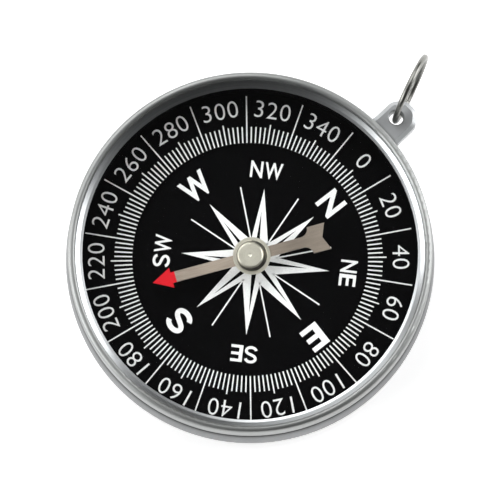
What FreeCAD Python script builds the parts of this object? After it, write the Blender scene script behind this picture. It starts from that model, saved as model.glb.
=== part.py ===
import FreeCAD, Part
import os
import re
import Sketcher

# Pocket compass with a carrying lug and a split ring.
# Millimetres. The origin is the centre of the flat underside of the case, +Z runs up through the
# dial and the crystal, and +Y points from the dial to the lug.

# ---------------------------------------------------------------------------------------------
# Driving dimensions: one named value each, in millimetres, degrees or turns.

SIZES = [
    # case
    ("case_radius", 22.65, "widest radius of the bulged side"),
    ("foot_inset", 0.3, "side radius lost at the foot"),
    ("shoulder_inset", 0.35, "side radius lost at the shoulder"),
    ("foot_round", 0.8, "round between underside and side"),
    ("bulge_height", 4.0, "height of the widest radius"),
    ("floor_thick", 1.2, "case floor"),
    ("neck_wall", 0.6, "wall of the neck that carries the crystal"),
    ("neck_height", 0.5, "neck above the shoulder"),
    ("seam_chamfer", 0.32, "chamfers that form the seam groove"),
    # fits
    ("press_gap", 0.02, "radial gap of pressed rings"),
    ("fit_gap", 0.05, "radial gap of laid-in pieces"),
    # heights above the floor
    ("dial_level", 3.6, "top of the scale ring"),
    ("window_height", 3.6, "dial to underside of crystal"),
    ("seal_thick", 0.2, "seal under the crystal"),
    ("crystal_thick", 1.0, "crystal"),
    ("crystal_edge", 0.1, "crystal rim inside the bezel wall"),
    # bezel and retainer
    ("bezel_inset", 0.35, "bezel inside the widest case radius"),
    ("bezel_wall", 0.6, "bezel skirt"),
    ("roll_width", 0.88, "width of the rounded roll"),
    ("roll_height", 1.25, "roll above the retainer flange"),
    ("roll_round_out", 0.5, "outer round of the roll"),
    ("roll_round_in", 0.33, "inner round of the roll"),
    ("retainer_flange", 0.5, "retainer flange under the roll"),
    ("retainer_gap", 0.06, "dark line between roll and retainer"),
    ("slope_width", 0.52, "retainer's sloped face, seen from above"),
    ("slope_height", 0.35, "rise of the sloped face"),
    ("lip_width", 0.32, "ledge round the window, seen from above"),
    ("lip_rise", 0.12, "rise of the ledge"),
    ("window_lip", 0.15, "edge of the window above the crystal"),
    # dial
    ("scale_inner_radius", 14.5, "hole in the scale ring"),
    ("scale_thick", 0.4, "scale ring"),
    ("card_lap", 0.4, "card held under the scale ring"),
    ("card_thick", 0.2, "rose card"),
    ("liner_wall", 0.25, "wall liner"),
    ("seat_plate", 0.9, "top plate of the dial seat"),
    ("seat_rim", 1.0, "rim of the dial seat"),
    ("seat_boss_radius", 2.6, "boss round the bush"),
    # pivot
    ("bush_radius", 1.1, "pivot bush"),
    ("bush_stand", 0.5, "bush above the card"),
    ("pin_radius", 0.4, "pivot pin shank"),
    ("pin_tip_radius", 0.06, "blunt point of the pin"),
    ("pin_cone", 1.0, "length of the pin's cone"),
    ("pivot_play", 0.04, "pin point to jewel"),
    # needle
    ("needle_lift", 1.75, "dial to underside of needle"),
    ("needle_thick", 0.3, "needle sheet"),
    ("needle_tip", 12.36, "pivot to point"),
    ("head_base", 9.96, "pivot to base of the arrow head"),
    ("head_half", 1.27, "half width of the arrow head"),
    ("arm_half", 0.66, "half width of the arms"),
    ("eye_radius", 1.9, "round eye under the hub flange"),
    ("flare_start", 6.65, "pivot to start of the tail flare"),
    ("flare_end", 7.65, "pivot to shoulder of the tail"),
    ("tail_half", 1.68, "half width of the tail"),
    ("tail_end", 9.86, "pivot to the tail's prongs"),
    ("notch_depth", 0.68, "notch between the prongs"),
    ("needle_heading", 208.2, "point, clockwise from the lug"),
    # hub and jewel
    ("hub_flange_radius", 2.315, "flange on top of the needle"),
    ("hub_flange_thick", 0.25, "flange"),
    ("boss_radius", 1.52, "top of the hub's tapered boss"),
    ("boss_foot_radius", 1.92, "foot of the boss"),
    ("flange_shift", 0.2, "flange and foot, off the pivot towards the tail"),
    ("boss_round", 0.16, "edge of the boss"),
    ("headroom", 0.35, "boss to crystal"),
    ("spigot_radius", 1.05, "neck of the hub in the needle"),
    ("rivet_radius", 1.35, "lip spun over below the needle"),
    ("rivet_thick", 0.2, "spun lip"),
    ("hub_bore", 0.7, "bore for jewel and pin"),
    ("hub_roof", 0.45, "metal over the jewel"),
    ("jewel_height", 0.6, "cup bearing"),
    ("jewel_roof", 0.15, "jewel above its cup"),
    ("cup_radius", 0.45, "mouth of the cup"),
    ("dimple_radius", 0.22, "centre mark on the boss"),
    ("dimple_depth", 0.1, "centre mark on the boss"),
    # lug
    ("lug_drop", 1.3, "lug below the shoulder"),
    ("lug_thick", 2.6, "lug"),
    ("lug_half", 2.14, "half width of the lug"),
    ("lug_root_half", 2.55, "half width at the root"),
    ("lug_root_reach", 1.1, "length of the widened root"),
    ("lug_hole_reach", 2.41, "case side to hole centre"),
    ("lug_hole_shift", 0.27, "hole beside the lug's middle"),
    ("lug_tip", 2.4, "hole centre to tip"),
    ("lug_corner", 1.5, "round of the tip's corners"),
    ("lug_bevel", 0.5, "bevel on the upper edge"),
    ("lug_under_bevel", 0.25, "bevel on the lower edge"),
    ("lug_hole", 0.9, "radius of the hole"),
    ("hole_bevel", 0.12, "bevel at the mouths of the hole"),
    # split ring
    ("ring_radius", 4.7, "outer radius of the split ring"),
    ("wire_radius", 0.37, "its wire"),
    ("ring_joint", 2.0, "angle of the open butt joint"),
    ("ring_joint_angle", 100.0, "joint, below the ring's far side"),
    ("ring_clear", 0.2, "ring above the surface the case stands on"),
    ("ring_yaw", 20.9, "ring, counter-clockwise from the lug"),
    ("ring_lean", 1.0, "top of the ring, leaning counter-clockwise"),
]

# Levels and radii that several pieces share, each worked out from the sizes above.
SHARED = {
    "neck_radius": "case_radius - bezel_inset - bezel_wall - press_gap",
    "cavity_radius": "case_radius - bezel_inset - bezel_wall - press_gap - neck_wall",
    "bezel_radius": "case_radius - bezel_inset",
    "crystal_level": "dial_level + window_height",
    "neck_top": "dial_level + window_height - seal_thick",
    "shoulder_level": "dial_level + window_height - seal_thick - neck_height",
    "needle_level": "dial_level + needle_lift",
    "boss_top": "dial_level + window_height - headroom",
    "jewel_top": "dial_level + window_height - headroom - hub_roof",
    "lug_top": "dial_level + window_height - seal_thick - neck_height - lug_drop",
    "lug_hole_y": "case_radius + lug_hole_reach",
}

doc = FreeCAD.newDocument("compass")
sheet = doc.addObject("Spreadsheet::Sheet", "Sizes")
for row, (name, number, note) in enumerate(SIZES, start=1):
    sheet.set(f"A{row}", name)
    sheet.set(f"B{row}", str(number))
    sheet.set(f"C{row}", note)
    sheet.setAlias(f"B{row}", name)
doc.recompute()

SIZE_NAMES = {name for name, number, note in SIZES}


def bound(formula):
    """A formula of size names, written out as an expression on the sheet's cells."""
    def replace(match):
        word = match.group(0)
        if word in SHARED:
            return "(" + bound(SHARED[word]) + ")"
        if word in SIZE_NAMES:
            return "Sizes." + word
        return word
    return re.sub(r"[A-Za-z_]\w*", replace, formula)


def number(formula):
    """The present value of a formula of size names."""
    return float(sheet.evalExpression(bound(formula)))


# ---------------------------------------------------------------------------------------------
# Sketches: every vertex is placed by formulas, so an outline follows the sheet.

def place_vertex(sketch, geometry, vertex, across, up):
    """Bind one vertex to its two distances from the sketch's origin."""
    for kind, axis, formula in (("DistanceX", -2, across), ("DistanceY", -1, up)):
        size = number(formula)
        if abs(size) < 1e-9:
            sketch.addConstraint(Sketcher.Constraint("PointOnObject", geometry, vertex, axis))
            continue
        ends = (-1, 1, geometry, vertex)
        if size < 0:
            ends = (geometry, vertex, -1, 1)
            formula = f"-({formula})"
        index = sketch.addConstraint(Sketcher.Constraint(kind, *ends, abs(size)))
        sketch.setExpression(f"Constraints[{index}]", bound(formula))


def draw_outline(sketch, corners):
    """Close an outline through corners given as (across, up).

    A corner given as (across, up, through_across, through_up) is reached by an arc that passes
    through the second point.
    """
    spots = [FreeCAD.Vector(number(c[0]), number(c[1]), 0) for c in corners]
    starts = []
    for index, corner in enumerate(corners):
        start = spots[index - 1]
        end = spots[index]
        if len(corner) == 2:
            starts.append((sketch.addGeometry(Part.LineSegment(start, end), False), 1, 2))
            continue
        middle = FreeCAD.Vector(number(corner[2]), number(corner[3]), 0)
        arc = sketch.addGeometry(Part.Arc(start, middle, end), False)
        forward = sketch.getPoint(arc, 1).distanceToPoint(start) < 1e-6
        starts.append((arc, 1, 2) if forward else (arc, 2, 1))
        through = sketch.addGeometry(Part.Point(middle), True)
        place_vertex(sketch, through, 1, corner[2], corner[3])
        sketch.addConstraint(Sketcher.Constraint("PointOnObject", through, 1, arc))
    for index, (geometry, first, last) in enumerate(starts):
        following, next_first, _ = starts[(index + 1) % len(starts)]
        sketch.addConstraint(Sketcher.Constraint("Coincident", geometry, last, following, next_first))
        place_vertex(sketch, geometry, last, corners[index][0], corners[index][1])


def draw_circle(sketch, across, up, radius):
    """Add one circle whose centre and radius are bound to formulas."""
    centre = FreeCAD.Vector(number(across), number(up), 0)
    circle = sketch.addGeometry(Part.Circle(centre, FreeCAD.Vector(0, 0, 1), number(radius)), False)
    place_vertex(sketch, circle, 3, across, up)
    index = sketch.addConstraint(Sketcher.Constraint("Radius", circle, number(radius)))
    sketch.setExpression(f"Constraints[{index}]", bound(radius))


def new_body(label):
    """A body whose label names its piece."""
    body = doc.addObject("PartDesign::Body", label)
    body.Label = label
    return body


def new_sketch(body, plane, level="0"):
    """A sketch on one of the body's own origin planes, raised by a formula."""
    sketch = body.newObject("Sketcher::SketchObject", body.Name + "_sketch")
    sketch.AttachmentSupport = [(f, "") for f in body.Origin.OriginFeatures if f.Role == plane]
    sketch.MapMode = "FlatFace"
    if level != "0":
        sketch.setExpression("AttachmentOffset.Base.z", bound(level))
    return sketch


def revolve(body, corners):
    """Turn an outline of (radius, height) corners about the body's Z axis."""
    sketch = new_sketch(body, "XZ_Plane")
    draw_outline(sketch, corners)
    turned = body.newObject("PartDesign::Revolution", body.Name + "_turned")
    turned.Profile = sketch
    turned.ReferenceAxis = (sketch, ["V_Axis"])
    turned.Angle = 360
    doc.recompute()
    return turned


def extrude(body, sketch, length):
    """Pad a sketch upwards by a formula."""
    pad = body.newObject("PartDesign::Pad", body.Name + "_pad")
    pad.Profile = sketch
    pad.setExpression("Length", bound(length))
    doc.recompute()
    return pad


def cut_down(body, sketch, depth):
    """Pocket a sketch downwards by a formula, and make sure that it removed material."""
    before = body.Shape.Volume
    pocket = body.newObject("PartDesign::Pocket", body.Name + "_pocket")
    pocket.Profile = sketch
    pocket.setExpression("Length", bound(depth))
    doc.recompute()
    assert body.Shape.Volume < before - 1e-6, body.Label + ": pocket removed nothing"
    return pocket


def round_edges(body, base, chosen, radius):
    """Fillet the base's edges for which chosen(edge) is true."""
    return dress_edges(body, base, chosen, "PartDesign::Fillet", "Radius", radius)


def bevel_edges(body, base, chosen, size):
    """Chamfer the base's edges for which chosen(edge) is true."""
    return dress_edges(body, base, chosen, "PartDesign::Chamfer", "Size", size)


def dress_edges(body, base, chosen, kind, size_property, size):
    names = [f"Edge{i}" for i, edge in enumerate(base.Shape.Edges, start=1) if chosen(edge)]
    assert names, body.Label + ": no edge to dress"
    dressed = body.newObject(kind, body.Name + "_edge")
    dressed.Base = (base, names)
    dressed.setExpression(size_property, bound(size))
    doc.recompute()
    return dressed


def circle_at(radius, level):
    """A test for full circles of one radius at one height."""
    wanted_radius = number(radius)
    wanted_level = number(level)

    def test(edge):
        if not isinstance(edge.Curve, Part.Circle):
            return False
        return (abs(edge.Curve.Radius - wanted_radius) < 1e-4
                and abs(edge.Curve.Center.z - wanted_level) < 1e-4)
    return test


def is_level(level):
    """A test for closed edges that lie flat at one height."""
    wanted = number(level)

    def test(edge):
        return edge.BoundBox.ZLength < 1e-6 and abs(edge.BoundBox.ZMin - wanted) < 1e-4
    return test


# ---------------------------------------------------------------------------------------------
# Case: a cast cup with a stepped neck, and the carrying lug.

LUG_ROOT_Y = "case_radius - shoulder_inset - 0.5 * neck_wall"


def lug_outline():
    """Lug seen from above: widened root, parallel sides, tip like half an octagon."""
    side_y = "case_radius + lug_root_reach"
    low_y = "lug_hole_y + lug_tip * tan(22.5)"
    high_y = "lug_hole_y + lug_tip"
    facet = "lug_tip * tan(22.5)"
    # Each widened side is an arc that leaves the parallel side without a corner.
    widening = "(lug_root_half - lug_half)"
    length = f"({side_y} - ({LUG_ROOT_Y}))"
    sweep_radius = f"(({widening}^2 + {length}^2) / (2 * {widening}))"
    half_turn = f"(0.5 * asin({length} / {sweep_radius}))"
    sweep_across = f"lug_half + {sweep_radius} * (1 - cos({half_turn}))"
    sweep_y = f"{side_y} - {sweep_radius} * sin({half_turn})"
    return [
        ("lug_root_half", LUG_ROOT_Y),
        ("lug_half", side_y, sweep_across, sweep_y),
        ("lug_half", low_y),
        (facet, high_y),
        (f"-({facet})", high_y),
        ("-lug_half", low_y),
        ("-lug_half", side_y),
        ("-lug_root_half", LUG_ROOT_Y, f"-({sweep_across})", sweep_y),
    ]


def is_lug_corner(edge):
    """Upright edges of the lug's tip."""
    upright = abs(edge.BoundBox.ZLength - number("lug_thick")) < 1e-4
    return upright and edge.BoundBox.YMin > number("lug_hole_y")


def is_lug_rim(level):
    """Edges round the lug at one height, without the straight edge buried in the case wall."""
    wanted = number(level)
    root = number(LUG_ROOT_Y)

    def test(edge):
        flat = edge.BoundBox.ZLength < 1e-6 and abs(edge.BoundBox.ZMin - wanted) < 1e-4
        return flat and edge.BoundBox.YMax > root + 1e-4
    return test


case_body = new_body("case_body")
lug_sketch = new_sketch(case_body, "XY_Plane", "lug_top - lug_thick")
draw_outline(lug_sketch, lug_outline())
lug = extrude(case_body, lug_sketch, "lug_thick")
lug = round_edges(case_body, lug, is_lug_corner, "lug_corner")
lug = bevel_edges(case_body, lug, is_lug_rim("lug_top"), "lug_bevel")
lug = bevel_edges(case_body, lug, is_lug_rim("lug_top - lug_thick"), "lug_under_bevel")

foot_radius = "case_radius - foot_inset"
shoulder_radius = "case_radius - shoulder_inset"
revolve(case_body, [
    ("0", "0"),
    (f"{foot_radius} - foot_round", "0"),
    (foot_radius, "foot_round", f"{foot_radius} - 0.293 * foot_round", "0.293 * foot_round"),
    (shoulder_radius, "shoulder_level - seam_chamfer", "case_radius", "bulge_height"),
    (f"{shoulder_radius} - seam_chamfer", "shoulder_level"),
    ("neck_radius", "shoulder_level"),
    ("neck_radius", "neck_top"),
    ("cavity_radius", "neck_top"),
    ("cavity_radius", "floor_thick"),
    ("0", "floor_thick"),
])

hole_sketch = new_sketch(case_body, "XY_Plane", "lug_top")
draw_circle(hole_sketch, "-lug_hole_shift", "lug_hole_y", "lug_hole")
pierced = cut_down(case_body, hole_sketch, "lug_thick")
is_top_mouth = circle_at("lug_hole", "lug_top")
is_low_mouth = circle_at("lug_hole", "lug_top - lug_thick")
bevel_edges(case_body, pierced, lambda edge: is_top_mouth(edge) or is_low_mouth(edge), "hole_bevel")

# ---------------------------------------------------------------------------------------------
# Rings that close the case: bezel with its roll, sloped retainer, crystal and seal.

bezel = new_body("bezel")
bezel_bore = "case_radius - bezel_inset - bezel_wall"
roll_inner = "bezel_radius - roll_width"
retainer_level = "crystal_level + crystal_thick"
flange_level = "crystal_level + crystal_thick + retainer_flange"
bezel_top = "crystal_level + crystal_thick + retainer_flange + roll_height"
bezel_ring = revolve(bezel, [
    (bezel_bore, "shoulder_level"),
    ("bezel_radius - seam_chamfer", "shoulder_level"),
    ("bezel_radius", "shoulder_level + seam_chamfer"),
    ("bezel_radius", bezel_top),
    (roll_inner, bezel_top),
    (roll_inner, flange_level),
    (bezel_bore, flange_level),
])
bezel_ring = round_edges(bezel, bezel_ring, circle_at("bezel_radius", bezel_top), "roll_round_out")
round_edges(bezel, bezel_ring, circle_at(roll_inner, bezel_top), "roll_round_in")

crystal_retainer = new_body("crystal_retainer")
slope_outer = f"{roll_inner} - retainer_gap"
slope_inner = f"{roll_inner} - retainer_gap - slope_width"
revolve(crystal_retainer, [
    (f"{slope_inner} - lip_width", retainer_level),
    (f"{bezel_bore} - fit_gap", retainer_level),
    (f"{bezel_bore} - fit_gap", flange_level),
    (slope_outer, flange_level),
    (slope_outer, f"{retainer_level} + window_lip + lip_rise + slope_height"),
    (slope_inner, f"{retainer_level} + window_lip + lip_rise"),
    (f"{slope_inner} - lip_width", f"{retainer_level} + window_lip"),
])

crystal = new_body("crystal")
crystal_radius = f"{bezel_bore} - crystal_edge"
revolve(crystal, [
    ("0", "crystal_level"),
    (crystal_radius, "crystal_level"),
    (crystal_radius, retainer_level),
    ("0", retainer_level),
])

crystal_seal = new_body("crystal_seal")
revolve(crystal_seal, [
    ("cavity_radius", "neck_top"),
    (f"{crystal_radius}", "neck_top"),
    (f"{crystal_radius}", "crystal_level"),
    ("cavity_radius", "crystal_level"),
])

# ---------------------------------------------------------------------------------------------
# Dial: liner, scale ring, rose card and the moulded seat under them.

insert_radius = "cavity_radius - fit_gap"
seat_top = "dial_level - scale_thick"
bush_clear = "bush_radius + press_gap"

wall_liner = new_body("wall_liner")
revolve(wall_liner, [
    (f"{insert_radius} - liner_wall", "dial_level"),
    (insert_radius, "dial_level"),
    (insert_radius, "crystal_level - fit_gap"),
    (f"{insert_radius} - liner_wall", "crystal_level - fit_gap"),
])

scale_ring = new_body("scale_ring")
revolve(scale_ring, [
    ("scale_inner_radius", seat_top),
    (insert_radius, seat_top),
    (insert_radius, "dial_level"),
    ("scale_inner_radius", "dial_level"),
])

rose_card = new_body("rose_card")
card_radius = "scale_inner_radius + card_lap"
revolve(rose_card, [
    (bush_clear, f"{seat_top} - card_thick"),
    (card_radius, f"{seat_top} - card_thick"),
    (card_radius, seat_top),
    (bush_clear, seat_top),
])

dial_seat = new_body("dial_seat")
revolve(dial_seat, [
    (bush_clear, "floor_thick"),
    ("seat_boss_radius", "floor_thick"),
    ("seat_boss_radius", f"{seat_top} - seat_plate"),
    (f"{insert_radius} - seat_rim", f"{seat_top} - seat_plate"),
    (f"{insert_radius} - seat_rim", "floor_thick"),
    (insert_radius, "floor_thick"),
    (insert_radius, seat_top),
    (f"{card_radius} + fit_gap", seat_top),
    (f"{card_radius} + fit_gap", f"{seat_top} - card_thick"),
    (bush_clear, f"{seat_top} - card_thick"),
])

# ---------------------------------------------------------------------------------------------
# Pivot: bush in the seat, pin in the bush, and the pin's point in the jewel.

pin_top = "jewel_top - jewel_roof - pivot_play"

pivot_bush = new_body("pivot_bush")
revolve(pivot_bush, [
    ("pin_radius + press_gap", "floor_thick"),
    ("bush_radius", "floor_thick"),
    ("bush_radius", f"{seat_top} + bush_stand"),
    ("pin_radius + press_gap", f"{seat_top} + bush_stand"),
])

pivot_pin = new_body("pivot_pin")
revolve(pivot_pin, [
    ("0", "floor_thick"),
    ("pin_radius", "floor_thick"),
    ("pin_radius", f"{pin_top} - pin_cone"),
    ("pin_tip_radius", pin_top),
    ("0", pin_top),
])

# ---------------------------------------------------------------------------------------------
# Needle group: sheet needle, turned hub riveted through it, jewel in the hub.

needle_rotation = FreeCAD.Rotation(FreeCAD.Vector(0, 0, 1), -number("needle_heading"))

compass_needle = new_body("compass_needle")
needle_sketch = new_sketch(compass_needle, "XY_Plane")
flare_across = "arm_half + 0.30 * (tail_half - arm_half)"
flare_y = "-(flare_start + 0.70 * (flare_end - flare_start))"
draw_outline(needle_sketch, [
    ("0", "needle_tip"),
    ("-head_half", "head_base"),
    ("-arm_half", "head_base"),
    ("-arm_half", "-flare_start"),
    ("-tail_half", "-flare_end", f"-({flare_across})", flare_y),
    ("-tail_half", "-tail_end"),
    ("0", "-(tail_end - notch_depth)"),
    ("tail_half", "-tail_end"),
    ("tail_half", "-flare_end"),
    ("arm_half", "-flare_start", flare_across, flare_y),
    ("arm_half", "head_base"),
    ("head_half", "head_base"),
])
extrude(compass_needle, needle_sketch, "needle_thick")
eye_sketch = new_sketch(compass_needle, "XY_Plane")
draw_circle(eye_sketch, "0", "0", "eye_radius")
extrude(compass_needle, eye_sketch, "needle_thick")
eye_hole_sketch = new_sketch(compass_needle, "XY_Plane", "needle_thick")
draw_circle(eye_hole_sketch, "0", "0", "spigot_radius + press_gap")
cut_down(compass_needle, eye_hole_sketch, "needle_thick")
compass_needle.Placement = FreeCAD.Placement(FreeCAD.Vector(0, 0, 0), needle_rotation)
compass_needle.setExpression("Placement.Base.z", bound("needle_level"))

needle_hub = new_body("needle_hub")
needle_top = "needle_level + needle_thick"
flange_top = f"{needle_top} + hub_flange_thick"
flange_sketch = new_sketch(needle_hub, "XY_Plane", needle_top)
draw_circle(flange_sketch, "0", "-flange_shift", "hub_flange_radius")
extrude(needle_hub, flange_sketch, "hub_flange_thick")
foot_sketch = new_sketch(needle_hub, "XY_Plane", flange_top)
draw_circle(foot_sketch, "0", "-flange_shift", "boss_foot_radius")
crown_sketch = new_sketch(needle_hub, "XY_Plane", "boss_top")
draw_circle(crown_sketch, "0", "0", "boss_radius")
boss = needle_hub.newObject("PartDesign::AdditiveLoft", "needle_hub_boss")
boss.Profile = foot_sketch
boss.Sections = [crown_sketch]
boss.Ruled = True
doc.recompute()
round_edges(needle_hub, boss, is_level("boss_top"), "boss_round")
spigot_sketch = new_sketch(needle_hub, "XY_Plane", "needle_level - rivet_thick")
draw_circle(spigot_sketch, "0", "0", "spigot_radius")
extrude(needle_hub, spigot_sketch, "rivet_thick + needle_thick + 0.5 * hub_flange_thick")
rivet_sketch = new_sketch(needle_hub, "XY_Plane", "needle_level - rivet_thick")
draw_circle(rivet_sketch, "0", "0", "rivet_radius")
extrude(needle_hub, rivet_sketch, "rivet_thick")
bore_sketch = new_sketch(needle_hub, "XY_Plane", "jewel_top")
draw_circle(bore_sketch, "0", "0", "hub_bore")
cut_down(needle_hub, bore_sketch, "jewel_top - needle_level + rivet_thick")
dimple_sketch = new_sketch(needle_hub, "XZ_Plane")
draw_outline(dimple_sketch, [
    ("0", "boss_top - dimple_depth"),
    ("dimple_radius", "boss_top"),
    ("0", "boss_top"),
])
dimple = needle_hub.newObject("PartDesign::Groove", "needle_hub_dimple")
dimple.Profile = dimple_sketch
dimple.ReferenceAxis = (dimple_sketch, ["V_Axis"])
dimple.Angle = 360
doc.recompute()
needle_hub.Placement = FreeCAD.Placement(FreeCAD.Vector(0, 0, 0), needle_rotation)

pivot_jewel = new_body("pivot_jewel")
revolve(pivot_jewel, [
    ("0", "jewel_top - jewel_roof"),
    ("cup_radius", "jewel_top - jewel_height"),
    ("hub_bore - press_gap", "jewel_top - jewel_height"),
    ("hub_bore - press_gap", "jewel_top"),
    ("0", "jewel_top"),
])

# ---------------------------------------------------------------------------------------------
# Split ring: one turn of wire bent through the lug's hole and closed to a butt joint, on edge.

wire_mid = "(ring_radius - wire_radius)"
ring_level = "ring_radius + ring_clear"
# Below the ring's own level the wire bends outwards inside the hole by this much.
hole_sag = f"({wire_mid} - sqrt({wire_mid}^2 - ({ring_level} - lug_top + lug_thick)^2))"
ring_reach = number(f"{wire_mid} - 0.5 * {hole_sag}")

split_ring = new_body("split_ring")
wire_sketch = new_sketch(split_ring, "XZ_Plane")
draw_circle(wire_sketch, wire_mid, "0", "wire_radius")
turn = split_ring.newObject("PartDesign::Revolution", "split_ring_turn")
turn.Profile = wire_sketch
turn.ReferenceAxis = (wire_sketch, ["V_Axis"])
turn.setExpression("Angle", bound("360 - ring_joint"))
doc.recompute()

UP = FreeCAD.Vector(0, 0, 1)
yaw = FreeCAD.Rotation(UP, number("ring_yaw"))
outward = yaw.multVec(FreeCAD.Vector(0, 1, 0))
ring_axis = yaw.multVec(FreeCAD.Vector(1, 0, 0))
hole_centre = FreeCAD.Vector(-number("lug_hole_shift"), number("lug_hole_y"), number(ring_level))
# The wire starts at the ring's own X axis, which is turned below the outward direction.
stand_up = FreeCAD.Rotation(outward, UP.cross(outward) * -1, ring_axis, "ZXY")
dip = FreeCAD.Rotation(ring_axis, -number("ring_joint_angle"))
lean = FreeCAD.Rotation(outward, -number("ring_lean"))
split_ring.Placement = FreeCAD.Placement(hole_centre + outward * ring_reach, lean * dip * stand_up)

# ---------------------------------------------------------------------------------------------
# Checks and files.

doc.recompute()
for thing in doc.Objects:
    assert "Invalid" not in thing.State and "Error" not in thing.State, thing.Label + " failed"

os.makedirs("parts", exist_ok=True)
pieces = [thing for thing in doc.Objects if thing.TypeId == "PartDesign::Body"]
for piece in pieces:
    assert not piece.Shape.isNull() and piece.Shape.isValid(), piece.Label + " is not valid"
for piece in pieces:
    solid = piece.Shape
    print(f"{piece.Label}: {solid.Volume:.3f} mm3, {len(solid.Solids)} solid, {solid.BoundBox}")
    solid.exportStep(f"parts/{piece.Label}.step")
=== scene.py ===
import math

import bmesh
import bpy
from mathutils import Matrix, Vector


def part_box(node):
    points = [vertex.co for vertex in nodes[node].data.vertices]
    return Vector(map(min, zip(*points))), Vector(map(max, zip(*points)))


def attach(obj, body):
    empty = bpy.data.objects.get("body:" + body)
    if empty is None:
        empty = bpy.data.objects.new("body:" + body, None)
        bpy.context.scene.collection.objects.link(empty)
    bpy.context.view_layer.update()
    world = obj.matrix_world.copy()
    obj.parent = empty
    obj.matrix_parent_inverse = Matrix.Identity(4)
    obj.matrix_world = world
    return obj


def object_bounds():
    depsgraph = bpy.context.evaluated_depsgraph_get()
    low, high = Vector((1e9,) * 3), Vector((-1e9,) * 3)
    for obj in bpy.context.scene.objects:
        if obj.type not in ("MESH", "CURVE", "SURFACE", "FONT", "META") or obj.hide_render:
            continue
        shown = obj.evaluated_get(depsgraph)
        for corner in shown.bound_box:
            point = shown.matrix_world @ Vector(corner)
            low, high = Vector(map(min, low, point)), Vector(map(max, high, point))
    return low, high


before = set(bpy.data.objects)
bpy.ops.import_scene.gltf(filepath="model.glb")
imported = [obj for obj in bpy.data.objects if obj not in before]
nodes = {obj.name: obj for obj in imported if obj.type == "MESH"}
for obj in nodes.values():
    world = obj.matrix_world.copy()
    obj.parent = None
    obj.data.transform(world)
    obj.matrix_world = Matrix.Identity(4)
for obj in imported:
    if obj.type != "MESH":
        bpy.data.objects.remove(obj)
cad_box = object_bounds()

# Case body: a cup die-cast in light alloy with its carrying lug. The casting is tumbled and left
# matte, with a fine grain and soft blotches. Painted shade darkens it in the groove under the seam,
# it is darker towards the bottom, and the cup is darker than the lug.
MM = 0.001


def new_material(name):
    """An empty material with a Principled shader; returns it, its tree and the shader."""
    material = bpy.data.materials.new(name)
    material.use_nodes = True
    tree = material.node_tree
    shader = tree.nodes["Principled BSDF"]
    return material, tree, shader


def cover(node_name, material):
    """Put one material on a CAD node."""
    node = nodes[node_name]
    node.data.materials.clear()
    node.data.materials.append(material)


def link(tree, source, target):
    tree.links.new(source, target)


def object_place(tree):
    """Object coordinates, in metres."""
    return tree.nodes.new("ShaderNodeTexCoord").outputs["Object"]


def noise(tree, place, scale, detail=3.0, roughness=0.5):
    """Noise over a place vector; scale is in cycles per metre."""
    texture = tree.nodes.new("ShaderNodeTexNoise")
    texture.inputs["Scale"].default_value = scale
    texture.inputs["Detail"].default_value = detail
    texture.inputs["Roughness"].default_value = roughness
    link(tree, place, texture.inputs["Vector"])
    return texture.outputs["Fac"]


def ramp(tree, value, stops):
    """A colour ramp; stops are (position, colour)."""
    node = tree.nodes.new("ShaderNodeValToRGB")
    while len(node.color_ramp.elements) < len(stops):
        node.color_ramp.elements.new(0.5)
    for element, (position, colour) in zip(node.color_ramp.elements, stops):
        element.position = position
        element.color = (*colour, 1)
    link(tree, value, node.inputs["Fac"])
    return node.outputs["Color"]


def span(tree, value, low, high):
    """Map a 0..1 value to low..high."""
    node = tree.nodes.new("ShaderNodeMapRange")
    node.inputs["To Min"].default_value = low
    node.inputs["To Max"].default_value = high
    link(tree, value, node.inputs["Value"])
    return node.outputs["Result"]


def bump(tree, shader, height, strength, distance):
    """Relief of a height value, distance in metres."""
    node = tree.nodes.new("ShaderNodeBump")
    node.inputs["Strength"].default_value = strength
    node.inputs["Distance"].default_value = distance
    link(tree, height, node.inputs["Height"])
    link(tree, node.outputs["Normal"], shader.inputs["Normal"])


def graded(tree, distance, stops):
    """A grey tone that follows a distance in metres; stops are (distance, tone)."""
    low, high = stops[0][0], stops[-1][0]
    rise = tree.nodes.new("ShaderNodeMapRange")
    rise.inputs["From Min"].default_value = low
    rise.inputs["From Max"].default_value = high
    link(tree, distance, rise.inputs["Value"])
    tones = [((place - low) / (high - low), (tone, tone, tone)) for place, tone in stops]
    return ramp(tree, rise.outputs["Result"], tones)


def height_of(tree):
    """The height above the underside."""
    parts = tree.nodes.new("ShaderNodeSeparateXYZ")
    link(tree, object_place(tree), parts.inputs[0])
    return parts.outputs["Z"]


def reach_of(tree):
    """The distance from the Z axis."""
    flat = tree.nodes.new("ShaderNodeVectorMath")
    flat.operation = "MULTIPLY"
    flat.inputs[1].default_value = (1, 1, 0)
    link(tree, object_place(tree), flat.inputs[0])
    reach = tree.nodes.new("ShaderNodeVectorMath")
    reach.operation = "LENGTH"
    link(tree, flat.outputs[0], reach.inputs[0])
    return reach.outputs["Value"]


def multiplied(tree, first, second):
    """The product of two colours."""
    node = tree.nodes.new("ShaderNodeMix")
    node.data_type = "RGBA"
    node.blend_type = "MULTIPLY"
    node.inputs["Factor"].default_value = 1
    link(tree, first, node.inputs["A"])
    link(tree, second, node.inputs["B"])
    return node.outputs["Result"]


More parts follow.
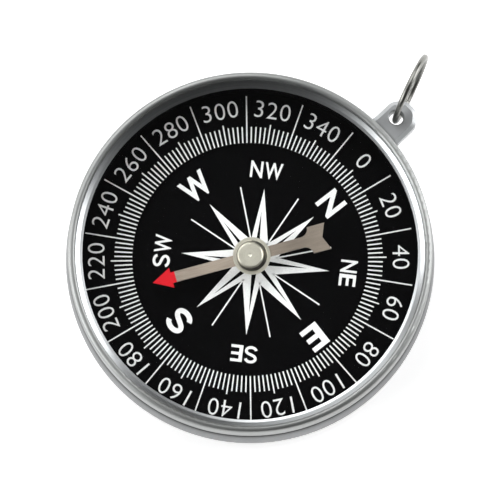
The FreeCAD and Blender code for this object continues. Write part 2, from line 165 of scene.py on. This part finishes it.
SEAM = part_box("bezel")[0].z
LUG_START = 22.7 * MM
cast, tree, shader = new_material("cast_alloy")
place = object_place(tree)
grain = noise(tree, place, 5200, 4.0, 0.6)
blotch = noise(tree, place, 420, 2.0)
shader.inputs["Metallic"].default_value = 0.9
cast_tone = ramp(tree, blotch, [(0.3, (0.50, 0.515, 0.525)), (0.7, (0.57, 0.585, 0.595))])
# Painted shade in the groove just under the seam; the case is also darker towards the bottom.
seam_shade = graded(tree, height_of(tree), [(0.0, 0.7), (2.5 * MM, 1.0), (SEAM - 1.1 * MM, 1.0),
                                           (SEAM - 0.5 * MM, 0.4), (SEAM, 0.14)])
# The cup, inside the lug's start, is darker than the lug.
cup_darker = graded(tree, reach_of(tree), [(LUG_START, 0.44), (LUG_START + 0.5 * MM, 1.0)])
cast_tone = multiplied(tree, multiplied(tree, cast_tone, seam_shade), cup_darker)
link(tree, cast_tone, shader.inputs["Base Color"])
link(tree, span(tree, grain, 0.34, 0.50), shader.inputs["Roughness"])
bump(tree, shader, grain, 0.35, 0.03 * MM)
cover("case_body", cast)

# Bezel: a drawn aluminium ring, rolled over at the top and satin finished on a lathe, so its
# grain runs round the ring. Painted shade darkens it just above the seam.


def turned_place(tree, across, along):
    """A place vector that makes a noise run round the Z axis: fine across, long along."""
    place = object_place(tree)
    parts = tree.nodes.new("ShaderNodeSeparateXYZ")
    link(tree, place, parts.inputs[0])
    flat = tree.nodes.new("ShaderNodeCombineXYZ")
    link(tree, parts.outputs["X"], flat.inputs["X"])
    link(tree, parts.outputs["Y"], flat.inputs["Y"])
    radius = tree.nodes.new("ShaderNodeVectorMath")
    radius.operation = "LENGTH"
    link(tree, flat.outputs[0], radius.inputs[0])
    joined = tree.nodes.new("ShaderNodeCombineXYZ")
    link(tree, radius.outputs["Value"], joined.inputs["X"])
    link(tree, parts.outputs["Z"], joined.inputs["Y"])
    fine = tree.nodes.new("ShaderNodeVectorMath")
    fine.operation = "SCALE"
    fine.inputs["Scale"].default_value = across
    link(tree, joined.outputs[0], fine.inputs[0])
    coarse = tree.nodes.new("ShaderNodeVectorMath")
    coarse.operation = "SCALE"
    coarse.inputs["Scale"].default_value = along
    link(tree, flat.outputs[0], coarse.inputs[0])
    total = tree.nodes.new("ShaderNodeVectorMath")
    total.operation = "ADD"
    link(tree, fine.outputs[0], total.inputs[0])
    link(tree, coarse.outputs[0], total.inputs[1])
    return total.outputs[0]


satin, tree, shader = new_material("satin_aluminium")
lathe = noise(tree, turned_place(tree, 9000, 120), 1.0, 3.0, 0.6)
cloud = noise(tree, object_place(tree), 160, 2.0)
shader.inputs["Metallic"].default_value = 1.0
satin_tone = ramp(tree, cloud, [(0.3, (0.36, 0.37, 0.365)), (0.7, (0.42, 0.43, 0.425))])
# Painted shade just above the seam, where bezel and case meet.
seam_shade = graded(tree, height_of(tree), [(SEAM, 0.14), (SEAM + 0.4 * MM, 0.35),
                                           (SEAM + 0.8 * MM, 1.0)])
link(tree, multiplied(tree, satin_tone, seam_shade), shader.inputs["Base Color"])
link(tree, span(tree, lathe, 0.44, 0.56), shader.inputs["Roughness"])
bump(tree, shader, lathe, 0.15, 0.006 * MM)
cover("bezel", satin)

# Crystal retainer: a thin turned ring with a bright sloped face, pressed in under the roll.
bright, tree, shader = new_material("bright_turned_ring")
lathe = noise(tree, turned_place(tree, 7000, 90), 1.0, 2.0, 0.5)
shader.inputs["Metallic"].default_value = 1.0
link(tree, ramp(tree, lathe, [(0.3, (0.52, 0.54, 0.55)), (0.7, (0.60, 0.62, 0.63))]),
     shader.inputs["Base Color"])
link(tree, span(tree, lathe, 0.27, 0.35), shader.inputs["Roughness"])
bump(tree, shader, lathe, 0.1, 0.003 * MM)
cover("crystal_retainer", bright)

# Crystal: a flat window of clear glass, polished both sides.
clear, tree, shader = new_material("clear_crystal")
haze = noise(tree, object_place(tree), 300, 2.0)
shader.inputs["Base Color"].default_value = (0.98, 0.99, 0.99, 1)
shader.inputs["Transmission Weight"].default_value = 1.0
shader.inputs["IOR"].default_value = 1.45
link(tree, span(tree, haze, 0.0, 0.012), shader.inputs["Roughness"])
path = tree.nodes.new("ShaderNodeLightPath")
through = tree.nodes.new("ShaderNodeBsdfTransparent")
choose = tree.nodes.new("ShaderNodeMixShader")
link(tree, path.outputs["Is Shadow Ray"], choose.inputs["Fac"])
link(tree, shader.outputs["BSDF"], choose.inputs[1])
link(tree, through.outputs["BSDF"], choose.inputs[2])
link(tree, choose.outputs["Shader"], tree.nodes["Material Output"].inputs["Surface"])
cover("crystal", clear)

# Seal, liner and seat: black pieces inside the case. The seal is rubber, the liner and the seat
# are moulded, with the faint grain of the mould.


def black_finish(name, tone, roughness, grain_scale, relief):
    """A nearly black material with a fine grain in tone and gloss."""
    material, tree, shader = new_material(name)
    grain = noise(tree, object_place(tree), grain_scale, 3.0)
    pale = tuple(1.6 * c for c in tone)
    link(tree, ramp(tree, grain, [(0.35, tone), (0.75, pale)]), shader.inputs["Base Color"])
    link(tree, span(tree, grain, roughness - 0.06, roughness + 0.08), shader.inputs["Roughness"])
    shader.inputs["Specular IOR Level"].default_value = 0.02
    bump(tree, shader, grain, 0.2, relief)
    return material


cover("crystal_seal", black_finish("black_rubber", (0.012, 0.012, 0.012), 0.75, 2500, 0.02 * MM))
cover("wall_liner", black_finish("black_liner", (0.0016, 0.0016, 0.002), 0.55, 3000, 0.01 * MM))
cover("dial_seat", black_finish("black_moulding", (0.008, 0.008, 0.008), 0.5, 2600, 0.01 * MM))

# Scale ring: a black ring printed in white. Lines every two degrees, one in ten of them long,
# and a figure every twenty degrees with its top outwards. The print is a little off centre, and
# its lines run to the edge of the ring's hole.
SCALE_ZERO = 2.7
SCALE_CENTRE = (-0.13 * MM, -0.138 * MM)
TICK_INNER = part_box("rose_card")[1].x - 0.4 * MM
TICK_WIDTH = 0.165 * MM
SHORT_END = 16.5 * MM
MEDIUM_END = 16.95 * MM
LONG_END = 20.35 * MM
FIGURE_RADIUS = 18.72 * MM
FIGURE_HEIGHT = 2.08 * MM
FIGURE_BOLDNESS = -0.008
FIGURE_SPACING = 1.06
INK = 0.012 * MM

scale_black = black_finish("scale_black", (0.0008, 0.0008, 0.001), 0.5, 2200, 0.004 * MM)
cover("scale_ring", scale_black)
scale_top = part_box("scale_ring")[1].z

white_ink, tree, shader = new_material("white_ink")
speck = noise(tree, object_place(tree), 3800, 3.0)
link(tree, ramp(tree, speck, [(0.3, (0.80, 0.81, 0.80)), (0.7, (0.90, 0.90, 0.89))]),
     shader.inputs["Base Color"])
link(tree, span(tree, speck, 0.45, 0.6), shader.inputs["Roughness"])


def at_bearing(bearing, radius, centre=(0, 0), level=0.0):
    """A place on the dial: +Y points outwards at a bearing clockwise from the lug."""
    turn = Matrix.Rotation(-math.radians(bearing), 4, "Z")
    return Matrix.Translation((*centre, level)) @ turn @ Matrix.Translation((0, radius, 0))


def spoke(bearing, radius):
    """A point at a bearing clockwise from +Y."""
    angle = math.radians(bearing)
    return radius * math.sin(angle), radius * math.cos(angle)


def add_bar(shape, transform, inner, outer, width):
    """A printed line from inner to outer along +Y, one ink thickness deep."""
    size = Matrix.Diagonal((width, outer - inner, INK, 1))
    middle = Matrix.Translation((0, 0.5 * (inner + outer), 0))
    bmesh.ops.create_cube(shape, size=1, matrix=transform @ middle @ size)


def finish_piece(name, shape, material, body="case"):
    """Turn a bmesh into a piece that rides on a body."""
    mesh = bpy.data.meshes.new(name)
    bmesh.ops.recalc_face_normals(shape, faces=shape.faces)
    shape.to_mesh(mesh)
    shape.free()
    mesh.materials.append(material)
    piece = bpy.data.objects.new(name, mesh)
    bpy.context.scene.collection.objects.link(piece)
    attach(piece, body)
    return piece


lines = bmesh.new()
for step in range(180):
    bearing = SCALE_ZERO + 2 * step
    end = SHORT_END
    if step % 10 == 0:
        end = MEDIUM_END
    if step % 10 == 5:
        end = LONG_END
    outwards = Vector(spoke(bearing, 1))
    hole_edge = TICK_INNER - outwards.dot(Vector(SCALE_CENTRE))
    add_bar(lines, at_bearing(bearing, 0, SCALE_CENTRE, scale_top), hole_edge, end, TICK_WIDTH)
finish_piece("scale_lines", lines, white_ink)


def lettering(text, height, boldness, width=None, spacing=1.0):
    """A bmesh of one word centred on the origin, its capitals height tall, one ink deep."""
    curve = bpy.data.curves.new("word", "FONT")
    curve.body = text
    curve.align_x = "CENTER"
    curve.size = 1.0
    curve.offset = boldness
    curve.space_character = spacing
    curve.extrude = 0.5
    curve.resolution_u = 4
    word = bpy.data.objects.new("word", curve)
    bpy.context.scene.collection.objects.link(word)
    bpy.context.view_layer.update()
    mesh = bpy.data.meshes.new_from_object(word.evaluated_get(bpy.context.evaluated_depsgraph_get()))
    bpy.data.objects.remove(word)
    shape = bmesh.new()
    shape.from_mesh(mesh)
    bmesh.ops.remove_doubles(shape, verts=shape.verts, dist=1e-5)
    low = min(v.co.y for v in shape.verts)
    high = max(v.co.y for v in shape.verts)
    left = min(v.co.x for v in shape.verts)
    right = max(v.co.x for v in shape.verts)
    tall = height / (high - low)
    wide = width / (right - left) if width else tall
    centre = Matrix.Translation((-0.5 * (left + right), -0.5 * (low + high), 0))
    bmesh.ops.transform(shape, matrix=Matrix.Diagonal((wide, tall, INK, 1)) @ centre,
                        verts=shape.verts)
    return shape


def join_word(whole, word, transform):
    """Put a finished word into a larger print."""
    bmesh.ops.transform(word, matrix=transform, verts=word.verts)
    mesh = bpy.data.meshes.new("word")
    word.to_mesh(mesh)
    word.free()
    whole.from_mesh(mesh)
    bpy.data.meshes.remove(mesh)


figures = bmesh.new()
for value in range(0, 360, 20):
    word = lettering(str(value), FIGURE_HEIGHT, FIGURE_BOLDNESS, spacing=FIGURE_SPACING)
    join_word(figures, word, at_bearing(SCALE_ZERO + value, FIGURE_RADIUS, SCALE_CENTRE, scale_top))
finish_piece("scale_figures", figures, white_ink)

# Rose card: a black card printed with an eight-rayed wind rose. The print sits a little off the
# card's centre and a few degrees round from the scale.
ROSE_CENTRE = (0.65 * MM, 0.25 * MM)
ROSE_NORTH = 5.5
RAY_TIP = 9.15 * MM
VALLEY_RADIUS = 2.79 * MM
VALLEY_BEARING = 27.0
SLIT_TIP = 6.43 * MM
SLIT_BASE = 1.2 * MM
SLIT_HALF = 0.30 * MM
LINE_END = 9.5 * MM
LINE_WIDTH = 0.17 * MM

cover("rose_card", black_finish("rose_black", (0.0007, 0.0007, 0.0009), 0.55, 2600, 0.004 * MM))
rose_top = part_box("rose_card")[1].z


def slab(shape, transform, corners):
    """A flat printed shape with the given corners, one ink thickness deep."""
    verts = [shape.verts.new(transform @ Vector((x, y, -0.5 * INK))) for x, y in corners]
    face = shape.faces.new(verts)
    made = bmesh.ops.extrude_face_region(shape, geom=[face])
    raised = [v for v in made["geom"] if isinstance(v, bmesh.types.BMVert)]
    bmesh.ops.translate(shape, verts=raised, vec=(0, 0, INK))


S_LOOP_CENTRE = 0.265
S_END = 8
S_STEPS = 16


def letter_s(height, width, stroke):
    """A capital S: two open loops joined by a slanting spine, drawn with one stroke width."""
    centre = S_LOOP_CENTRE * (height - stroke)
    tall = 0.5 * (height - stroke) - centre
    wide = 0.5 * (width - stroke)
    join = 180 + math.degrees(math.asin(tall / centre))
    loop = []
    for step in range(S_STEPS + 1):
        angle = math.radians(S_END + (join - S_END) * step / S_STEPS)
        loop.append(Vector((wide * math.cos(angle), centre + tall * math.sin(angle))))
    path = loop + [-point for point in reversed(loop)]
    left, right = [], []
    for index, point in enumerate(path):
        before = path[max(index - 1, 0)]
        after = path[min(index + 1, len(path) - 1)]
        side = (after - before).normalized().orthogonal() * 0.5 * stroke
        left.append(tuple(point + side))
        right.append(tuple(point - side))
    shape = bmesh.new()
    slab(shape, Matrix.Identity(4), left + right[::-1])
    return shape


rose = bmesh.new()
for index in range(8):
    transform = at_bearing(ROSE_NORTH + 45 * index, 0, ROSE_CENTRE, rose_top)
    tip = (0, RAY_TIP)
    slit = (0, SLIT_TIP)
    left_valley = spoke(VALLEY_BEARING - 45, VALLEY_RADIUS)
    right_valley = spoke(VALLEY_BEARING, VALLEY_RADIUS)
    next_base = Matrix.Rotation(-math.radians(45), 2) @ Vector((-SLIT_HALF, SLIT_BASE))
    slab(rose, transform, [tip, slit, (-SLIT_HALF, SLIT_BASE), left_valley])
    slab(rose, transform, [tip, right_valley, tuple(next_base), (SLIT_HALF, SLIT_BASE), slit])
    add_bar(rose, at_bearing(ROSE_NORTH + VALLEY_BEARING + 45 * index, 0, ROSE_CENTRE, rose_top),
            VALLEY_RADIUS - 0.2 * MM, LINE_END, LINE_WIDTH)
finish_piece("rose_star", rose, white_ink)

LETTER_WIDTH = {"N": 0.81, "E": 0.78, "S": 0.82, "W": 1.17}
PAIR_SQUEEZE = 0.91
PAIR_GAP = 0.24 * MM
MAIN_RADIUS = 11.85 * MM
PAIR_RADIUS = 11.5 * MM
MAIN_HEIGHT = 3.1 * MM
PAIR_HEIGHT = 2.08 * MM
MAIN_BOLDNESS = 0.03
PAIR_BOLDNESS = 0.016
MAIN_STROKE = 0.205
PAIR_STROKE = 0.165
S_OVERSHOOT = 1.03

letters = bmesh.new()
for index, name in enumerate(["N", "NE", "E", "SE", "S", "SW", "W", "NW"]):
    main = len(name) == 1
    radius = MAIN_RADIUS if main else PAIR_RADIUS
    height = MAIN_HEIGHT if main else PAIR_HEIGHT
    place = at_bearing(ROSE_NORTH + 45 * index, radius, ROSE_CENTRE, rose_top)
    widths = [LETTER_WIDTH[letter] * height * (1 if main else PAIR_SQUEEZE) for letter in name]
    reach = -0.5 * (sum(widths) + PAIR_GAP * (len(name) - 1))
    for letter, width in zip(name, widths):
        if letter == "S":
            stroke = (MAIN_STROKE if main else PAIR_STROKE) * height
            word = letter_s(S_OVERSHOOT * height, width, stroke)
        else:
            word = lettering(letter, height, MAIN_BOLDNESS if main else PAIR_BOLDNESS, width)
        join_word(letters, word, place @ Matrix.Translation((reach + 0.5 * width, 0, 0)))
        reach += width + PAIR_GAP
finish_piece("rose_letters", letters, white_ink)

# Pivot: a brass bush, a ground steel pin with a point, and a red cup jewel over it.


def metal(name, tone, roughness, across, along, relief=0.006 * MM):
    """A turned metal whose grain runs round the Z axis."""
    material, tree, shader = new_material(name)
    lathe = noise(tree, turned_place(tree, across, along), 1.0, 3.0, 0.55)
    pale = tuple(min(1.0, 1.14 * c) for c in tone)
    shader.inputs["Metallic"].default_value = 1.0
    link(tree, ramp(tree, lathe, [(0.3, tone), (0.7, pale)]), shader.inputs["Base Color"])
    link(tree, span(tree, lathe, roughness - 0.05, roughness + 0.07), shader.inputs["Roughness"])
    bump(tree, shader, lathe, 0.3, relief)
    return material


cover("pivot_bush", metal("turned_brass", (0.70, 0.52, 0.26), 0.3, 12000, 300))
cover("pivot_pin", metal("ground_steel", (0.56, 0.56, 0.55), 0.22, 16000, 300))
jewel, tree, shader = new_material("red_jewel")
vein = noise(tree, object_place(tree), 2500, 2.0)
link(tree, ramp(tree, vein, [(0.3, (0.55, 0.02, 0.05)), (0.7, (0.75, 0.06, 0.10))]),
     shader.inputs["Base Color"])
shader.inputs["Roughness"].default_value = 0.08
shader.inputs["Coat Weight"].default_value = 0.6
cover("pivot_jewel", jewel)

# Needle: stamped from thin steel strip, satin along its length, with a painted reflection that
# is darker towards the tail and lighter ahead of the hub. Its point is dipped in red paint.
NEEDLE_BEARING = 208.2
PAINT_START = 9.45 * MM

steel, tree, shader = new_material("needle_steel")
place = object_place(tree)
turn = tree.nodes.new("ShaderNodeMapping")
turn.inputs["Rotation"].default_value = (0, 0, math.radians(NEEDLE_BEARING))
link(tree, place, turn.inputs["Vector"])
along = tree.nodes.new("ShaderNodeSeparateXYZ")
link(tree, turn.outputs["Vector"], along.inputs[0])
stretch = tree.nodes.new("ShaderNodeVectorMath")
stretch.operation = "MULTIPLY"
stretch.inputs[1].default_value = (9000, 500, 9000)
link(tree, turn.outputs["Vector"], stretch.inputs[0])
drawn = noise(tree, stretch.outputs[0], 1.0, 3.0, 0.6)
sheet_tone = ramp(tree, drawn, [(0.3, (0.40, 0.335, 0.275)), (0.7, (0.50, 0.425, 0.35))])
is_paint = tree.nodes.new("ShaderNodeMapRange")
is_paint.inputs["From Min"].default_value = PAINT_START
is_paint.inputs["From Max"].default_value = PAINT_START + 0.06 * MM
link(tree, along.outputs["Y"], is_paint.inputs["Value"])
# Painted reflection along the needle: darker towards the tail, lighter ahead of the hub.
painted_light_and_shade = graded(tree, along.outputs["Y"], [(-9.0 * MM, 0.75), (-5.0 * MM, 0.62), (-2.6 * MM, 0.85),
                                          (2.6 * MM, 1.1), (7.0 * MM, 1.0), (9.0 * MM, 0.9)])
sheet_tone = multiplied(tree, sheet_tone, painted_light_and_shade)
colour = tree.nodes.new("ShaderNodeMix")
colour.data_type = "RGBA"
link(tree, is_paint.outputs["Result"], colour.inputs["Factor"])
link(tree, sheet_tone, colour.inputs["A"])
colour.inputs["B"].default_value = (0.55, 0.0, 0.008, 1)
link(tree, colour.outputs["Result"], shader.inputs["Base Color"])
link(tree, span(tree, is_paint.outputs["Result"], 0.8, 0.0), shader.inputs["Metallic"])
shader.inputs["Specular IOR Level"].default_value = 0.3
link(tree, span(tree, drawn, 0.34, 0.48), shader.inputs["Roughness"])
bump(tree, shader, drawn, 0.25, 0.008 * MM)
cover("compass_needle", steel)

# Hub: a cap turned from nickel-plated brass and riveted through the needle, with its lathe marks
# and centre mark showing on top. Painted shade makes the side of the boss darker than its top
# and the flange.
hub_low, hub_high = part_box("needle_hub")
HUB_FLANGE = 0.25 * MM
FLANGE_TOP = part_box("compass_needle")[1].z + HUB_FLANGE
plated, tree, shader = new_material("plated_hub")
lathe = noise(tree, turned_place(tree, 9000, 200), 1.0, 3.0, 0.55)
shader.inputs["Metallic"].default_value = 1.0
hub_tone = ramp(tree, lathe, [(0.3, (0.74, 0.71, 0.60)), (0.7, (0.86, 0.83, 0.71))])
# Painted shade: the side of the boss darker than its top and flange, and the hub a little darker
# below the flange.
painted_light_and_shade = graded(tree, height_of(tree), [(hub_low.z, 0.8), (FLANGE_TOP + 0.02 * MM, 1.0),
                                      (FLANGE_TOP + 0.08 * MM, 0.12), (hub_high.z - 0.3 * MM, 0.2),
                                      (hub_high.z - 0.16 * MM, 1.0), (hub_high.z, 1.0)])
link(tree, multiplied(tree, hub_tone, painted_light_and_shade), shader.inputs["Base Color"])
link(tree, span(tree, lathe, 0.33, 0.42), shader.inputs["Roughness"])
bump(tree, shader, lathe, 0.4, 0.012 * MM)
cover("needle_hub", plated)

# Split ring: one turn of plated spring wire, bent through the lug and closed to a butt joint.
wire, tree, shader = new_material("plated_wire")
scuff = noise(tree, object_place(tree), 4200, 3.0, 0.6)
shader.inputs["Metallic"].default_value = 1.0
link(tree, ramp(tree, scuff, [(0.3, (0.21, 0.21, 0.20)), (0.7, (0.29, 0.29, 0.27))]),
     shader.inputs["Base Color"])
link(tree, span(tree, scuff, 0.26, 0.36), shader.inputs["Roughness"])
cover("split_ring", wire)

# Floor, light and camera: a pale floor just under the case, three soft boxes and a long lens,
# tilted a little from straight down.
FLOOR_GAP = 0.1 * MM
floor_shape = bmesh.new()
bmesh.ops.create_grid(floor_shape, x_segments=1, y_segments=1, size=1.2)
floor_mesh = bpy.data.meshes.new("floor")
floor_shape.to_mesh(floor_mesh)
floor_shape.free()
floor = bpy.data.objects.new("floor", floor_mesh)
floor.location.z = cad_box[0].z - FLOOR_GAP
bpy.context.scene.collection.objects.link(floor)
pale, tree, shader = new_material("pale_floor")
shader.inputs["Base Color"].default_value = (0.93, 0.93, 0.93, 1)
shader.inputs["Roughness"].default_value = 0.8
shader.inputs["Specular IOR Level"].default_value = 0.1
shader.inputs["Emission Color"].default_value = (1, 1, 1, 1)
shader.inputs["Emission Strength"].default_value = 0.62
floor_mesh.materials.append(pale)

world = bpy.data.worlds.new("studio")
bpy.context.scene.world = world
world.use_nodes = True
world.node_tree.nodes["Background"].inputs["Color"].default_value = (1, 1, 1, 1)
world.node_tree.nodes["Background"].inputs["Strength"].default_value = 0.035

VIEW_UP = Vector((-0.725, 0.688, 0)).normalized()
VIEW_RIGHT = Vector((0.688, 0.725, 0)).normalized()


def soft_box(name, right, up, height, size, power):
    """A square soft light placed by the view's right and up, aimed at the dial."""
    light = bpy.data.lights.new(name, "AREA")
    light.shape = "SQUARE"
    light.size = size
    light.energy = power
    lamp = bpy.data.objects.new(name, light)
    bpy.context.scene.collection.objects.link(lamp)
    lamp.location = VIEW_RIGHT * right + VIEW_UP * up + Vector((0, 0, height))
    lamp.rotation_mode = "QUATERNION"
    lamp.rotation_quaternion = lamp.location.to_track_quat("Z", "Y")
    return lamp


soft_box("box_left", -0.61, -0.10, 0.30, 0.55, 3.7)
soft_box("box_right", 0.60, 0.20, 0.29, 0.55, 3.9)
soft_box("box_top", -0.28, 0.54, 0.60, 0.7, 4.6)

CAMERA_DISTANCE = 0.80
CAMERA_TILT = math.radians(9.0)
CAMERA_LENS = 468.4
AIM_UP = 1.179 * MM
AIM_LEFT = 0.02 * MM
dial_centre = Vector((0, 0, scale_top))
target = dial_centre + VIEW_UP * AIM_UP - VIEW_RIGHT * AIM_LEFT
back = -VIEW_UP * math.sin(CAMERA_TILT) + Vector((0, 0, 1)) * math.cos(CAMERA_TILT)
camera = bpy.data.objects.new("camera", bpy.data.cameras.new("camera"))
bpy.context.scene.collection.objects.link(camera)
camera.data.sensor_width = 36
camera.data.lens = CAMERA_LENS
camera.data.clip_start = 0.01
camera.data.clip_end = 10
camera.location = target + back * CAMERA_DISTANCE
up_axis = back.cross(VIEW_RIGHT)
camera.rotation_mode = "QUATERNION"
camera.rotation_quaternion = Matrix((VIEW_RIGHT, up_axis, back)).transposed().to_quaternion()
bpy.context.scene.camera = camera
bpy.context.scene.view_settings.view_transform = "Standard"

bpy.context.view_layer.update()
